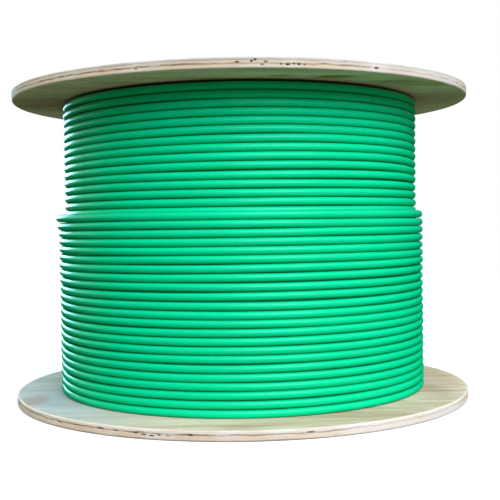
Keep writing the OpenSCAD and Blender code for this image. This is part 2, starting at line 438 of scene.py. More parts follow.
def plywood_edge(name, inner_z, joints, inner_ply, split, tone, painted_left_brightening):
    """The sanded rim of three plies, counted from the reel's inner side: inner_ply's colour, tan, then
    thin and grey. The middle ply's grain lies across the others'. Where a ply's fibres point out of the
    rim, its end grain is darker and pitted. The rim is paler on the reel's right. split is how strongly the
    open joint shows; tone lightens or darkens the whole rim, and the last argument is painted light that
    makes its left side paler, where the lamps light it less."""
    s = Surface(name, ior=1.4)
    place = s.place()
    x, y, z = s.split(place)
    ripple = s.noise(place, (70, 70, 10), detail=4)
    level = s.maths("DIVIDE", s.gap(z, inner_z), FLANGE_T)
    level = s.plus(level, s.ranged(ripple, 0.2, 0.8, -0.05, 0.05))
    first, second = joints
    inner_end, tan, tan_long = srgb(214, 200, 176), srgb(214, 190, 158), srgb(228, 212, 186)
    glue, grey, corner = srgb(158, 132, 98), srgb(190, 184, 170), srgb(206, 192, 166)
    front = s.ramp(level, (0.04, corner), (first - 0.14, inner_ply), (first, glue), (first + 0.10, tan),
                   (second - 0.05, tan), (second, glue), (second + 0.04, grey), (1.0, grey))
    side = s.ramp(level, (0.0, inner_end), (first - 0.06, inner_end), (first, glue),
                  (first + 0.06, tan_long), (second - 0.04, tan_long), (second, glue),
                  (second + 0.04, inner_end), (1.0, grey))
    across = s.times(x, x)
    sideways = s.maths("DIVIDE", across, s.plus(across, s.times(y, y)))
    s.colour = s.blend(s.ranged(sideways, 0.25, 0.75), front, side)
    blotches = s.noise(place, (30, 30, 60), detail=4)
    s.fleck(blotches, 0.42, 0.7, 0.5, srgb(228, 220, 204))
    # Paler towards the reel's right and less so at its far right end; the crack shows less where the rim is
    # paler.
    paler_right = s.ranged(s.plus(x, s.times(blotches, 0.10)), 0.05, 0.22, 0.0, 0.50)
    paler_right = s.times(paler_right, s.ranged(x, 0.185, 0.215, 1.0, 0.2))
    s.tint(paler_right, srgb(226, 219, 204))
    broken = s.noise(place, (55, 55, 300), (3, 3, 0), detail=4, roughness=0.7)
    near_joint = s.ranged(s.gap(level, first + 0.02), 0.0, 0.13, 1.0, 0.0)
    crack = s.times(near_joint, s.ranged(broken, 0.46, 0.62))
    crack = s.times(crack, s.ranged(paler_right, 0.0, 0.5, 1.0, 0.35))
    s.tint(s.times(crack, split), srgb(118, 92, 62))
    scratches = s.noise(place, (45, 45, 900), (5, 1, 0), detail=4, roughness=0.6)
    s.fleck(scratches, 0.55, 0.75, 0.35, srgb(172, 152, 122))
    pores = s.noise(place, (900, 900, 1500), detail=2)
    s.fleck(pores, 0.55, 0.75, 0.35, srgb(160, 134, 104))
    # Painted light: the rim's left side is made paler, where the lamps light it less.
    s.tint(1.0, s.ranged(x, -0.17, -0.04, painted_left_brightening, tone), "MULTIPLY")
    # Painted shade: the voids and chips are darkened by the shade painted into the pit attribute.
    s.tint(s.painted("pit"), srgb(66, 52, 32))
    s.bump((ripple, 0.0002), (pores, 0.0001), (crack, -0.0004), (scratches, 0.0001))
    return s.finish(0.72, Specular_IOR_Level=0.25)


def wound_fibre():
    """The core tube: kraft board in spiral plies, with the plies' edges showing as slanted lines."""
    s = Surface("wound_fibre", ior=1.4)
    place = s.place()
    x, y, z = s.split(place)
    turn = s.maths("DIVIDE", s.maths("ARCTAN2", y, x), 2 * math.pi)
    spiral = s.maths("FRACT", s.plus(s.times(z, 9.0), turn))
    seam = s.ranged(s.gap(spiral, 0.5), 0.47, 0.5)
    pulp = s.noise(place, scale=700, detail=5, roughness=0.7)
    blotch = s.noise(place, scale=30)
    s.colour = s.ramp(blotch, (0.3, srgb(150, 116, 78)), (0.7, srgb(172, 136, 94)))
    s.fleck(pulp, 0.35, 0.7, 0.4, srgb(118, 88, 58))
    s.tint(s.times(seam, 0.6), srgb(84, 62, 42))
    s.bump((pulp, 0.0001), (seam, -0.0003))
    return s.finish(0.85)


def zinc_steel():
    """Bright zinc plate: fine grain, faint yellowish passivation and small scuffs."""
    s = Surface("zinc_steel", metallic=1.0)
    place = s.place()
    grain = s.noise(place, (3000, 3000, 900))
    cloud = s.noise(place, scale=160, detail=4, roughness=0.6)
    s.colour = s.ramp(cloud, (0.3, srgb(176, 178, 180)), (0.55, srgb(204, 205, 206)),
                      (0.75, srgb(206, 200, 184)))
    spots = s.ranged(s.noise(place, scale=520), 0.66, 0.76)
    s.tint(s.times(spots, 0.4), srgb(120, 118, 114))
    s.bump((grain, 0.00002), (cloud, 0.00003))
    return s.finish(s.ranged(cloud, 0.3, 0.7, 0.30, 0.48))


def insulation(name, colour, stripe=None):
    """Thin polyethylene insulation with a slight wax bloom, and a stripe along the white wires."""
    s = Surface(name, ior=1.5)
    run = s.along_tube()
    bloom = s.noise(run, (400, 6, 1), detail=4)
    s.colour = s.blend(s.ranged(bloom, 0.35, 0.75, 0.0, 0.18), colour, srgb(235, 238, 240))
    if stripe:
        around = s.split(run)[1]
        beside = s.gap(around, 0.5)
        s.tint(s.ranged(beside, 0.10, 0.12, 1.0, 0.0), stripe)
    s.bump((bloom, 0.00001))
    return s.finish(s.ranged(bloom, 0.3, 0.7, 0.30, 0.42))


def bare_copper():
    s = Surface("bare_copper", metallic=1.0)
    drawn = s.noise(s.place(), (4000, 4000, 4000))
    s.colour = s.ramp(drawn, (0.3, srgb(196, 112, 70)), (0.7, srgb(226, 148, 104)))
    s.bump((drawn, 0.000005))
    return s.finish(0.28)


def separator_film():
    s = Surface("separator_film", ior=1.5)
    haze = s.noise(s.place(), scale=1800)
    s.colour = s.ramp(haze, (0.3, srgb(222, 222, 214)), (0.7, srgb(240, 240, 234)))
    s.bump((haze, 0.00001))
    return s.finish(0.38, Subsurface_Weight=0.1)


def crepe_tape():
    """Tan crepe paper tape: fine ridges across its length, and a dusty matt face."""
    s = Surface("crepe_tape", ior=1.4)
    place = s.place()
    creases = s.noise(place, (260, 260, 2600), detail=4, roughness=0.6)
    pulp = s.noise(place, scale=1500)
    s.colour = s.ramp(creases, (0.3, srgb(196, 176, 126)), (0.7, srgb(226, 209, 162)))
    s.fleck(pulp, 0.4, 0.7, 0.25, srgb(238, 228, 196))
    s.bump((creases, 0.00012), (pulp, 0.00002))
    return s.finish(0.8, Subsurface_Weight=0.05)


def studio_white():
    s = Surface("studio_white", ior=1.3)
    cloud = s.noise(s.place(), scale=2, detail=2)
    s.colour = s.ramp(cloud, (0.3, (0.90, 0.90, 0.90)), (0.7, (0.92, 0.92, 0.92)))
    return s.finish(0.9, Emission_Color=s.colour, Emission_Strength=0.30)


# ------------ mesh helpers


def new_piece(name, vertices, faces, materials, smooth=True, replaces=()):
    mesh = bpy.data.meshes.new(name)
    mesh.from_pydata([tuple(v) for v in vertices], [], [tuple(f) for f in faces])
    mesh.update()
    piece = new_object(name, mesh)
    for material in materials:
        mesh.materials.append(material)
    mesh.polygons.foreach_set("use_smooth", [smooth] * len(mesh.polygons))
    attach(piece, "root")
    if replaces:
        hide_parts(*replaces)
    return piece


def ring_frames(path):
    """Unit vectors (outward, upward) across the path at each of its points, as the reel sees them."""
    along = np.gradient(path, axis=0)
    along /= np.linalg.norm(along, axis=1, keepdims=True)
    out = path * (1, 1, 0)
    out /= np.linalg.norm(out, axis=1, keepdims=True)
    out -= along * (out * along).sum(axis=1, keepdims=True)
    out /= np.linalg.norm(out, axis=1, keepdims=True)
    return out, np.cross(out, along)


def grid_quads(rows, columns, rows_meet=False, columns_meet=True):
    """Quads between a grid's neighbouring points, whose last row or column may meet the first."""
    row = np.arange(rows if rows_meet else rows - 1)[:, None]
    near = np.arange(columns if columns_meet else columns - 1)[None]
    far = (near + 1) % columns
    this, following = row * columns, (row + 1) % rows * columns
    return np.stack([this + near, following + near, following + far, this + far], -1).reshape(-1, 4)


def tube_mesh(path, radius, sides, hollow=0.0):
    """Vertices, faces and (along, around) values of a tube round the path. Its seam is on the side that
    faces the reel's axis. hollow is the radius of a bore, which shows at the far end."""
    out, up = (way[:, None] for way in ring_frames(path))
    angle = (np.pi + 2 * np.pi * np.arange(sides) / sides)[None, :, None]
    rings = path[:, None] + radius * (np.cos(angle) * out + np.sin(angle) * up)
    vertices = [rings.reshape(-1, 3)]
    count = len(path)
    faces = [list(quad) for quad in grid_quads(count, sides)]
    step = np.concatenate([[0], np.cumsum(np.linalg.norm(np.diff(path, axis=0), axis=1))])
    share = np.arange(sides) / sides
    along = np.stack([step[:-1], step[1:], step[1:], step[:-1]], -1)[:, None]
    around = np.stack([share, share, share + 1 / sides, share + 1 / sides], -1)[None]
    runs = list(np.stack(np.broadcast_arrays(along, around), -1).reshape(-1, 4, 2))
    start_cap = list(range(sides))[::-1]
    faces.append(start_cap)
    runs.append(np.stack([np.zeros(sides), share[start_cap]], -1))
    end = last = (count - 1) * sides
    if hollow:
        inner = rings[-1] * (hollow / radius) + path[-1] * (1 - hollow / radius)
        deep = rings[0] * (hollow / radius) + path[0] * (1 - hollow / radius)
        vertices += [inner, deep + (path[1] - path[0]) * 0.5]
        lip, end = count * sides, (count + 1) * sides
        for i in range(sides):
            j = (i + 1) % sides
            faces += [[lip + i, lip + j, last + j, last + i], [end + i, end + j, lip + j, lip + i]]
            runs += [np.full((4, 2), (step[-1], 0.5))] * 2
    faces.append([end + i for i in range(sides)])
    runs.append(np.stack([np.full(sides, step[-1]), share], -1))
    return np.concatenate(vertices), faces, runs


def spun_mesh(radius, height, azimuth):
    """Vertices and faces of an outline carried round the Z axis. radius and height have a row for each
    azimuth, in radians, and a column for each point of the outline, which is closed."""
    swing = azimuth[:, None]
    points = np.stack([radius * np.cos(swing), radius * np.sin(swing), height], -1)
    return points.reshape(-1, 3), grid_quads(*radius.shape, rows_meet=True)


def add_run_map(piece, runs):
    """Keeps each face corner's (along, around) in a UV map that the materials read."""
    layer = piece.data.uv_layers.new(name="run")
    layer.data.foreach_set("uv", np.concatenate([np.asarray(r).ravel() for r in runs]))


def make_tube(name, path, radius, sides, material, replaces=(), hollow=0.0):
    vertices, faces, runs = tube_mesh(path, radius, sides, hollow)
    piece = new_piece(name, vertices, faces, [material], replaces=replaces)
    add_run_map(piece, runs)
    return piece


# ------------ the winding

TURN_SAMPLES = 120  # points in one turn of the cable
TURN_FROM = 30  # azimuth at which each turn is counted from
STEP_CENTRE = 75  # azimuth around which each turn steps up or down to the next
STEP_WIDTH = 44
STEP_DRIFT = 9  # degrees by which the step moves to each side, from a layer's first turn to its last
STEP_JITTER = 3.5  # and from one turn to the next
RADIUS_EASE = 5  # points to each side over which the cable's radius is eased
HEIGHT_EASE = 3  # and its height
JOINT_REACH = 7  # points to each side over which one layer leads into the next
START_AZIMUTH = 80  # where the cable comes up through the lower flange
SEEN_LAYERS = 2
END_CUT = 125  # azimuth under the tape, where the outer layer's tube hands over to the stripped end
JACKET_TO = 132  # azimuth at which the jacket is cut
PAIRS_TO = 136  # and at which the pairs are
LOOSE_TURN = 22.3  # the slack stretch: its height and its spread in turns, its azimuth and its reach
LOOSE_SPREAD = 0.9
LOOSE_AZIMUTH = 196
LOOSE_REACH = 17
LOOSE_BY = 3.0 * MM

# Where the turns lie off their even places: height in turns, its spread, azimuth, its spread, and how
# far up in turns.
SLUMPS = [
    (34.0, 5.0, 211, 45, -0.36),
    (37.0, 1.4, 262, 40, -0.16),
    (37.0, 2.2, 318, 35, -0.36),
    (29.0, 3.5, 315, 35, 0.16),
    (25.2, 2.5, 285, 60, -0.10),
    (16.5, 2.6, 290, 60, 0.12),
    (12.0, 2.6, 300, 60, -0.11),
    (7.0, 4.0, 120, 50, 0.10),
    (30.0, 4.0, 20, 40, -0.12),
]
# Their slight waves: height in turns, the number in one turn, and how far one shifts from turn to turn.
WAVES = [(0.022, 2, 1.7), (0.016, 3, -2.9), (0.010, 7, 4.1)]


def azimuths(count=TURN_SAMPLES):
    """The azimuths of that many points along the cable, the first of which starts a turn."""
    return TURN_FROM + 360 * np.arange(count) / TURN_SAMPLES


def sample_at(azimuth):
    """The number of the point at an azimuth, in the first turn."""
    return round((azimuth - TURN_FROM) / 360 * TURN_SAMPLES)


def bulge(up, across):
    """1 in the middle of a bulge, and next to nothing at 2 or more from it either way."""
    return np.exp(-up ** 2 - across ** 2)


def wander(height, azimuth, layer):
    """How far up, in turns, the cable lies off its even place."""
    off = np.zeros(np.broadcast(height, azimuth).shape)
    for middle, spread, at, reach, amount in SLUMPS:
        off += amount * bulge((height - middle) / spread, turned_by(azimuth, at) / reach)
    for amount, waves, shift in WAVES:
        off += amount * np.sin(waves * np.radians(azimuth) + shift * height)
    return off * layer / LAYERS


def keep_apart(heights):
    """Moves the turns of one layer, lowest first, so that none lies in its neighbour or in a flange."""
    low, high = FLANGE_T + CABLE_R, REEL_H - FLANGE_T - CABLE_R
    for _ in range(60):
        lack = np.maximum(0, CABLE_D - np.diff(heights, axis=0)) / 2
        heights[:-1] -= lack
        heights[1:] += lack
        heights = np.clip(heights, low, high)
    return heights


def smoothed(values, reach):
    """The run of values with its kinks eased over that many points to each side."""
    window = np.hanning(2 * reach + 3)[1:-1]
    padded = np.pad(values, reach, mode="edge")
    return np.convolve(padded, window / window.sum(), mode="valid")


def layer_heights(layer, draws):
    """A row of heights for each turn, in the order they are wound, with a column for each azimuth."""
    rising = layer % 2 == 1
    turns = LAYER_TURNS if layer < LAYERS else OUTER_TURNS + 1
    azimuth = azimuths()[None]
    place = np.arange(turns)[:, None] + 0.5 if rising else LAYER_TURNS - np.arange(turns)[:, None] + 0.0
    before = place - 1 if rising else place + 1
    before[0] = place[0] if layer == 1 else place[0] + (0.5 if rising else -0.5)
    drift = np.linspace(-STEP_DRIFT, STEP_DRIFT, turns)[:, None] * (1 if rising else -1)
    jitter = np.array([draws.uniform(-STEP_JITTER, STEP_JITTER) for _ in range(turns)])[:, None]
    way = smooth_step((azimuth - (STEP_CENTRE + drift + jitter)) / STEP_WIDTH + 0.5)
    place = before + (place - before) * way
    place = place + wander(place, azimuth, layer)
    heights = FLANGE_T + place * PITCH
    return keep_apart(heights) if rising else keep_apart(heights[::-1])[::-1]


def lie_on(heights, under_heights, under_radii):
    """The radius at which turns at these heights rest on the layer beneath. A layer's first turn starts in
    the space that the layer beneath leaves at the flange, level with that layer's last turn."""
    apart = np.abs(heights[:, None] - under_heights[None])
    reach = CABLE_D + TOUCH
    lift = np.sqrt(np.maximum(reach ** 2 - apart ** 2, 0))
    resting = np.where(apart < reach, under_radii[None] + lift, 0).max(axis=1)
    return np.maximum(resting, np.take_along_axis(under_radii, apart.argmin(axis=1), axis=0))


def ease_joint(before, after):
    """Eases the step from one layer's last points to the next layer's first ones, in place."""
    run = smoothed(np.concatenate([before[-2 * JOINT_REACH:], after[:2 * JOINT_REACH]]), JOINT_REACH)
    before[-JOINT_REACH:] = run[JOINT_REACH:2 * JOINT_REACH]
    after[:JOINT_REACH] = run[2 * JOINT_REACH:3 * JOINT_REACH]


def wind():
    """The centreline of each layer, as an array of points."""
    draws = random.Random(7)
    azimuth = azimuths()
    heights = layer_heights(1, draws)
    radii = np.full(heights.shape, FIRST_R)
    shown = []
    for layer in range(1, LAYERS + 1):
        if layer > 1:
            upper = layer_heights(layer, draws)
            radii = smoothed(lie_on(upper, heights, radii).ravel(), RADIUS_EASE).reshape(upper.shape)
            heights = smoothed(upper.ravel(), HEIGHT_EASE).reshape(upper.shape)
        shown.append([(radii + loose_turns(heights, azimuth, layer)).flatten(), heights.flatten()])
    for layer, following in zip(shown, shown[1:]):
        for before, after in zip(layer, following):
            ease_joint(before, after)
    layers = []
    for radius, height in shown:
        angle = np.radians(azimuths(len(radius)))
        layers.append(np.stack([radius * np.cos(angle), radius * np.sin(angle), height], -1))
    return layers


def loose_turns(heights, azimuth, layer):
    """The last turns to be wound are slack, and stand out at the left."""
    if layer < LAYERS:
        return 0
    place = (heights - FLANGE_T) / PITCH
    up = (place - LOOSE_TURN) / LOOSE_SPREAD
    return LOOSE_BY * bulge(up, turned_by(azimuth[None], LOOSE_AZIMUTH) / LOOSE_REACH)


def add_winding(jacket):
    """The layers of one cable, each a tube of its own, and their paths. The hidden layers are coarser."""
    paths = wind()
    paths[0] = paths[0][sample_at(START_AZIMUTH):]
    paths[-1] = paths[-1][:OUTER_TURNS * TURN_SAMPLES + sample_at(END_CUT) + 1]
    pieces = []
    for number, path in enumerate(paths, 1):
        if number < LAYERS:
            path = np.concatenate([path, paths[number][:1]])
        sides = 16
        if number <= LAYERS - SEEN_LAYERS:
            path = np.concatenate([path[:-1:3], path[-1:]])
            sides = 8
        pieces.append(make_tube(f"cable_turns_{number}", path, CABLE_R, sides, jacket,
                                [f"cable_layer_{number}"]))
        paths[number - 1] = path
    return pieces, paths


def path_length(path):
    return float(np.linalg.norm(np.diff(path, axis=0), axis=1).sum())


# ------------ the cable's outer end


def end_path(azimuth_from, azimuth_to, last, points):
    """An arc that carries on from the outer layer's last point."""
    azimuth = np.radians(np.linspace(azimuth_from, azimuth_to, points))
    radius = math.hypot(last[0], last[1])
    return np.stack([radius * np.cos(azimuth), radius * np.sin(azimuth), np.full(points, last[2])], -1)


def beside(path, right, up):
    """The path moved sideways, by numbers or by one number for each of its points."""
    out, rise = ring_frames(path)
    return path + out * np.reshape(right, (-1, 1)) + rise * np.reshape(up, (-1, 1))


PAIR_R = 1.5 * MM  # from the cable's middle to the middle of a pair
WIRE_R = 0.5 * MM
WIRE_GAP = 0.52 * MM  # from the middle of a pair to the middle of a wire
COPPER_R = 0.27 * MM
PAIRS_SHORT = (0.0, 0.35, 0.15, 0.5)  # degrees by which each pair is cut short of the longest
SPLAY_FROM = 0.62  # share of a pair's length past which it bends outwards
SPLAY = 0.55  # and how far, as a share of its distance from the cable's middle
TWIST = 11 * MM  # one turn of a pair
JACKET_WALL = 0.8 * MM
INSIDE_FROM = END_CUT + 0.5  # azimuth at which the pairs and the separator start, inside the jacket


def add_pair(shade, tint, quarter, last, copper):
    """Two insulated wires twisted round each other, which splay a little past the jacket's end."""
    spine = end_path(INSIDE_FROM, PAIRS_TO - PAIRS_SHORT[quarter], last, 64)
    along = np.linspace(0, path_length(spine), len(spine))
    past = np.clip((along / along[-1] - SPLAY_FROM) / (1 - SPLAY_FROM), 0, 1)
    corner = math.radians(45 + 90 * quarter)
    away = PAIR_R * (1 + SPLAY * past ** 2)
    middle = beside(spine, away * math.cos(corner), away * math.sin(corner))
    swing = 2 * math.pi * along / TWIST + quarter
    vertices, faces, runs, kinds = [], [], [], []
    for wire in (0, 1):
        turned = swing + math.pi * wire
        line = beside(middle, WIRE_GAP * np.cos(turned), WIRE_GAP * np.sin(turned))
        bare = np.stack([line[-1] + (line[-1] - line[-2]) * t for t in (-0.5, 1.0, 2.0, 2.6)])
        for path, radius, kind in ((line, WIRE_R, wire), (bare, COPPER_R, 2)):
            v, f, r = tube_mesh(path, radius, 12)
            base = sum(len(x) for x in vertices)
            vertices.append(v)
            faces += [[base + i for i in face] for face in f]
            runs += r
            kinds += [kind] * len(f)
    white = insulation(f"white_{shade}_wire", srgb(232, 234, 232), stripe=tint)
    plain = insulation(f"{shade}_wire", tint)
    piece = new_piece(f"twisted_pair_{shade}", np.concatenate(vertices), faces, [plain, white, copper],
                      replaces=[f"pair_{shade}"])
    add_run_map(piece, runs)
    piece.data.polygons.foreach_set("material_index", kinds)
    return piece


def add_separator(last, film):
    """A cross-shaped strip that turns slowly along the cable and keeps the pairs apart."""
    spine = end_path(INSIDE_FROM, PAIRS_TO - 1.2, last, 40)
    out, rise = ring_frames(spine)
    arm, half = CABLE_R - 1.0 * MM, 0.18 * MM
    section = [(arm, -half), (arm, half), (half, half), (half, arm), (-half, arm), (-half, half),
               (-arm, half), (-arm, -half), (-half, -half), (-half, -arm), (half, -arm), (half, -half)]
    vertices = []
    for i in range(len(spine)):
        turn = 0.25 * i / len(spine)
        for a, b in section:
            right, up = a * math.cos(turn) - b * math.sin(turn), a * math.sin(turn) + b * math.cos(turn)
            vertices.append(spine[i] + out[i] * right + rise[i] * up)
    count = len(section)
    faces = [*grid_quads(len(spine), count), range(count)[::-1], range(len(vertices))[-count:]]
    return new_piece("cross_separator", vertices, faces, [film], smooth=False,
                     replaces=["pair_separator"])


def add_cable_end(path, jacket):
    """The stripped end of the cable: a cut jacket with four twisted pairs and a separator."""
    last = path[-1]
    copper = bare_copper()
    sleeve = make_tube("jacket_end", end_path(END_CUT, JACKET_TO, last, 24), CABLE_R, 32, jacket,
                       ["cable_end_jacket"], hollow=CABLE_R - JACKET_WALL)
    tints = {"blue": srgb(24, 78, 178), "orange": srgb(236, 120, 26), "green": srgb(24, 132, 66),
             "brown": srgb(112, 70, 38)}
    pairs = [add_pair(*shade_and_tint, quarter, last, copper)
             for quarter, shade_and_tint in enumerate(tints.items())]
    return [sleeve, add_separator(last, separator_film()), *pairs]


# ------------ the tape over the end

TAPE_FROM = 121  # azimuths of its two edges
TAPE_TO = 129
TAPE_COLUMNS = 25
TAPE_ROWS = 90
TAPE_CLEAR = 0.28 * MM  # from the turns to the tape's inner face
TAPE_T = 0.16 * MM
TAPE_SAG = 0.55 * MM
LIFTED_WIDTH = 1.4  # degrees of the tape's upper corner that stand off
LIFTED_ROWS = 8
LIFT = 1.2 * MM
TORN_ROWS = 6  # rows of the lower end over which its torn edge fades out
TORN_BY = 0.8 * MM


def add_tape(paths):
    """A strip of paper tape that bridges the turns it is stuck to, from the outer layer to the next."""
    box_lo, box_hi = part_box("end_tape")
    azimuth = np.linspace(TAPE_FROM, TAPE_TO, TAPE_COLUMNS)
    z = np.linspace(box_lo.z, box_hi.z, TAPE_ROWS)
    turns = np.concatenate([paths[-2], paths[-1], end_path(END_CUT, JACKET_TO, paths[-1][-1], 24)])
    turn_azimuth = np.degrees(np.arctan2(turns[:, 1], turns[:, 0]))
    turn_radius = np.hypot(turns[:, 0], turns[:, 1])
    radius = np.zeros((TAPE_COLUMNS, TAPE_ROWS))
    for i, a in enumerate(azimuth):
        near = np.abs(turn_azimuth - a) < 2.5  # takes in one or two points of each turn
        rise = CABLE_R ** 2 - (z[None] - turns[near, 2][:, None]) ** 2
        crown = np.where(rise > 0, turn_radius[near][:, None] + np.sqrt(np.maximum(rise, 0)), 0)
        profile = crown.max(axis=0)
        radius[i] = np.maximum(bridged(profile, TAPE_SAG), np.maximum(profile, smoothed(profile, 1)))
    lifted_z = z[-1 - LIFTED_ROWS]
    corner = smooth_step((azimuth - TAPE_TO + LIFTED_WIDTH) / LIFTED_WIDTH)[:, None]
    radius += TAPE_CLEAR + LIFT * corner * smooth_step((z - lifted_z) / (z[-1] - lifted_z))
    torn = np.sin(np.linspace(0, 9, TAPE_COLUMNS))[:, None]
    height = z + TORN_BY * torn * smooth_step(1 - np.arange(TAPE_ROWS) / TORN_ROWS)[None]
    vertices = [polar(radius[i, j], azimuth[i], height[i, j]) for i, j in np.ndindex(radius.shape)]
    tape = new_piece("tape_strip", vertices, grid_quads(*radius.shape, columns_meet=False), [crepe_tape()],
                     replaces=["end_tape"])
    thick = tape.modifiers.new("paper", "SOLIDIFY")
    thick.thickness = TAPE_T
    thick.offset = 1.0


def bridged(profile, sag):
    """The profile with its narrow dips spanned, apart from a slight sag, as a stuck strip spans them."""
    reach = 7
    closed = profile
    for extreme in (np.max, np.min):
        padded = np.pad(closed, reach, mode="edge")
        closed = extreme([padded[i:i + len(profile)] for i in range(2 * reach + 1)], axis=0)
    return smoothed(np.maximum(profile, closed - sag), 2)


# ------------ flanges

RIM_STEPS = 900
SEAT_DEPTH = 3 * MM
SEAT_SLACK = 0.1 * MM
START_HOLE_D = 9 * MM
BORE_EASE = 0.5 * MM
RIM_EASE = 1.3 * MM
GLUE_GROOVE = 0.16 * MM
# Voids and chips at the front of each rim: azimuth, height as a share of the thickness, and half width
# and depth in millimetres.
LOWER_PITS = [
    (222.5, 0.52, 2.0, 0.5), (225.6, 0.50, 2.4, 0.5), (231.0, 0.57, 4.0, 0.4), (238.4, 0.62, 3.2, 0.9),
    (242.4, 0.57, 2.4, 0.6), (247.2, 0.52, 1.8, 0.7), (249.0, 0.43, 2.2, 0.8), (250.8, 0.37, 2.0, 0.8),
    (252.4, 0.45, 1.4, 0.7), (254.4, 0.42, 1.6, 0.5), (259.1, 0.57, 1.7, 1.6), (283.6, 0.63, 2.8, 0.8),
]
UPPER_PITS = [
    (240.4, 0.46, 2.4, 0.4), (248.6, 0.33, 1.6, 0.6), (269.6, 0.53, 1.5, 0.9), (272.5, 0.60, 1.0, 1.0),
    (273.2, 0.74, 1.0, 1.2), (275.3, 0.55, 1.3, 0.8), (274.6, 0.30, 1.4, 0.6), (278.4, 0.36, 0.9, 0.8),
    (279.8, 0.34, 1.8, 1.4), (281.0, 0.38, 1.0, 0.8), (282.0, 0.36, 1.4, 1.2), (283.2, 0.33, 0.9, 0.7),
    (292.0, 0.75, 1.5, 0.3), (299.7, 0.40, 1.8, 1.4),
]
RIM_FINE = 0.06  # degrees between the rim's finest steps, at the voids


def rim_pits(seed, chosen, joints, inner_above):
    """Voids in the rim: azimuth, height as a share of the thickness, half width, half height, depth."""
    draws = random.Random(seed)
    pits = [(a, h, 1.25 * w * MM, 0.75 * MM, d * MM) for a, h, w, d in chosen]
    for _ in range(22):
        ply = draws.choice([joints[0] + 0.06, 0.6, 0.6, 0.7])
        ply = 1 - ply if inner_above else ply
        at, off = draws.uniform(-40, 215), draws.uniform(-0.06, 0.06)
        sizes = [draws.uniform(*span) * MM for span in ((0.8, 2.6), (0.35, 0.7), (0.4, 1.6))]
        pits.append((at, ply + off, *sizes))
    return pits


def rim_azimuths(pits):
    """Azimuths round the rim, in radians, which are closer together at the voids."""
    marks = list(np.arange(RIM_STEPS) * 360 / RIM_STEPS)
    for at, _, half_width, _, _ in pits:
        reach = math.degrees(1.3 * half_width / FLANGE_R)
        marks += list(np.linspace(at - reach, at + reach, 13))
    steps = np.unique(np.round(np.array(marks) / RIM_FINE).astype(int) % round(360 / RIM_FINE))
    return np.radians(steps * RIM_FINE)


def rim_profile(joints, inner_above):
    """Heights, as shares of the thickness, and insets of the rim from its lower to its upper edge."""
    joints = [1 - joint if inner_above else joint for joint in joints]
    ease = RIM_EASE / FLANGE_T
    swings = [math.radians(90 * i / 5) for i in range(6)]
    points = [(ease * (1 - math.cos(a)), RIM_EASE * (1 - math.sin(a))) for a in swings[:-1]]
    for share in np.linspace(ease, 1 - ease, 25):
        groove = sum(GLUE_GROOVE * math.exp(-((share - joint) / 0.018) ** 2) for joint in joints)
        points.append((share, groove))
    return points + [(1 - ease * (1 - math.sin(a)), RIM_EASE * (1 - math.cos(a))) for a in swings[1:]]


def flange_rows(low, joints, seat_above):
    """The flange's outline as (radius, height, whether it takes the rim's material), round its section
    from the bore on the lower face. The core tube's seat is cut into the reel's inner side."""
    high = low + FLANGE_T
    seat = (CORE_R - CORE_WALL - SEAT_SLACK, CORE_R + SEAT_SLACK)

    def flat(height, depth):
        """A face, as rings of points inside and outside the seat, which is cut to that depth."""
        inner, outer = [ARBOR_R + BORE_EASE, 0.06, 0.10], [0.16, 0.21]
        floor = height + depth
        groove = [(seat[0], height), (seat[0], floor), (seat[1], floor), (seat[1], height)] if depth else []
        points = [(r, height) for r in inner] + groove + [(r, height) for r in outer]
        return [(*point, False) for point in points]

    rim = [(FLANGE_R - inset, low + share * FLANGE_T, True)
           for share, inset in rim_profile(joints, seat_above)]
    bore = [(ARBOR_R, high - BORE_EASE, True), (ARBOR_R, low + BORE_EASE, True)]
    lower, upper = (0, -SEAT_DEPTH) if seat_above else (SEAT_DEPTH, 0)
    return flat(low, lower) + rim + flat(high, upper)[::-1] + bore


def add_flange(name, node, low, joints, seat_above, seed, chosen_pits, face, edge, *drillings):
    rows = flange_rows(low, joints, seat_above)
    pits = rim_pits(seed, chosen_pits, joints, seat_above)
    azimuth = rim_azimuths(pits)
    steps, count = len(azimuth), len(rows)
    ragged = np.random.default_rng(seed).uniform(0.55, 1.25, (steps, count))
    uneven = 0.10 * MM * (np.sin(5 * azimuth + seed) + np.sin(13 * azimuth + 2 * seed)) + 0.22 * MM
    radius, height, _ = (np.tile(column, (steps, 1)) for column in zip(*rows))
    on_rim = np.array([mark and r > CORE_R for r, _, mark in rows])
    pit_shade = np.zeros((steps, count))
    radius[:, on_rim] -= uneven[:, None]
    for at, share, half_width, half_height, depth in pits:
        across = np.radians(turned_by(np.degrees(azimuth), at)) * FLANGE_R / half_width
        up = (height - low - share * FLANGE_T) / half_height
        hollow = np.clip((1.4 - across[:, None] ** 2 - up ** 2) * ragged, 0, 1) * on_rim[None]
        radius -= depth * hollow
        # Painted shade: each void darkens the rim's colour, the more the deeper it is.
        pit_shade = np.maximum(pit_shade, hollow * min(1, depth / MM))
    vertices, quads = spun_mesh(radius, height, azimuth)
    piece = new_piece(name, vertices, quads, [face, edge], replaces=[node])
    is_edge = np.tile([rows[j][2] and rows[(j + 1) % count][2] for j in range(count)], steps)
    piece.data.polygons.foreach_set("material_index", is_edge.astype(np.int32))
    piece.data.polygons.foreach_set("use_smooth", is_edge)
    shade = piece.data.attributes.new("pit", "FLOAT", "POINT")
    shade.data.foreach_set("value", pit_shade.ravel().astype(np.float32))
    for holes in drillings:
        drill(piece, holes)
    return piece


